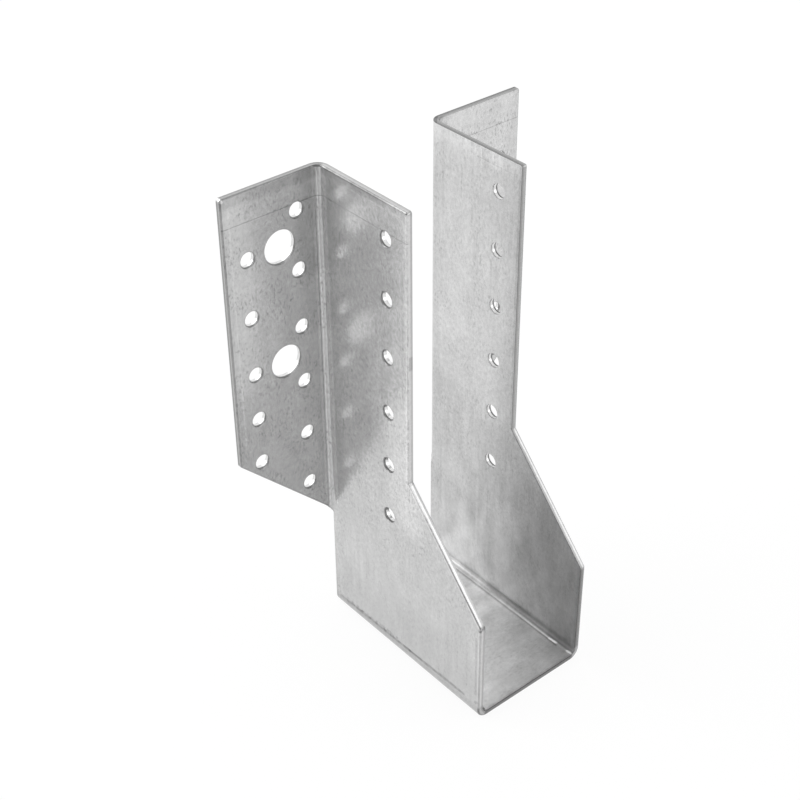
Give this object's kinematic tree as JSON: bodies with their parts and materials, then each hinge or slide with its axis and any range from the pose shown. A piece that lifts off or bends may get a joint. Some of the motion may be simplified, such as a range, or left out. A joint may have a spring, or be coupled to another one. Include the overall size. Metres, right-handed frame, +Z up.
{
  "type": "joist hanger",
  "caption": "Folded sheet steel joist hanger: a U pocket with a seat, slanted side plates and two punched header flanges.",
  "frame": {"origin": "on the underside of the seat, midway between the side plates and midway between the header plane and the seat's front edge", "axes": "+Z up along the side plates, +Y towards the header beam, +X to the right seen from the joist"},
  "size_m": [0.1146, 0.0754, 0.17],
  "materials": {
    "galvanised_steel": "satin zinc coating with fine speckle, faint draw lines and bare sheared edges"
  },
  "bodies": {
    "root": {"hanger": "galvanised_steel"}
  },
  "joints": []
}
